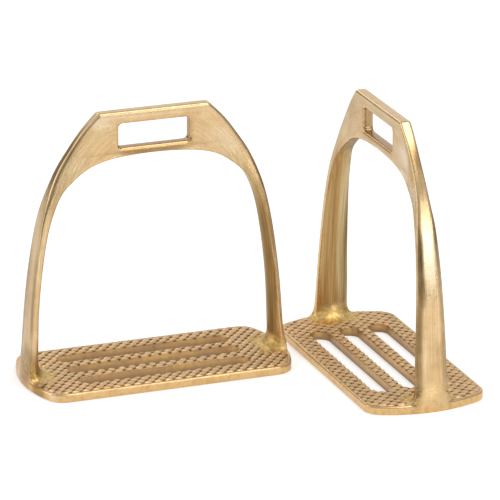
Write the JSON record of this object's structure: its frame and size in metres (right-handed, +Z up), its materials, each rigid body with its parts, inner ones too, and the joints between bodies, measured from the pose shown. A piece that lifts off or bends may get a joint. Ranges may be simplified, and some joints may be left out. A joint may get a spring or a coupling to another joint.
{
  "type": "australian stirrup iron pair",
  "caption": "Pair of brass four bar stirrup irons: wide bowed tread with through slots and raised diamond grip, blade branches, trapezoid head with a strap eye.",
  "frame": {"origin": "bottom centre of the pair's bounding box, on the plane the treads rest on", "axes": "+Z up from the treads to the strap eyes; +X along the left stirrup's tread, towards the right stirrup; +Y from front to back of the left stirrup; the right stirrup's tread runs along Y"},
  "size_m": [0.2044, 0.136, 0.1348],
  "materials": {
    "brass": "satin polished"
  },
  "bodies": {
    "root": {"left_head": "brass", "left_near_branch": "brass", "left_far_branch": "brass", "left_tread_plate": "brass", "right_head": "brass", "right_near_branch": "brass", "right_far_branch": "brass", "right_tread_plate": "brass"}
  },
  "joints": []
}
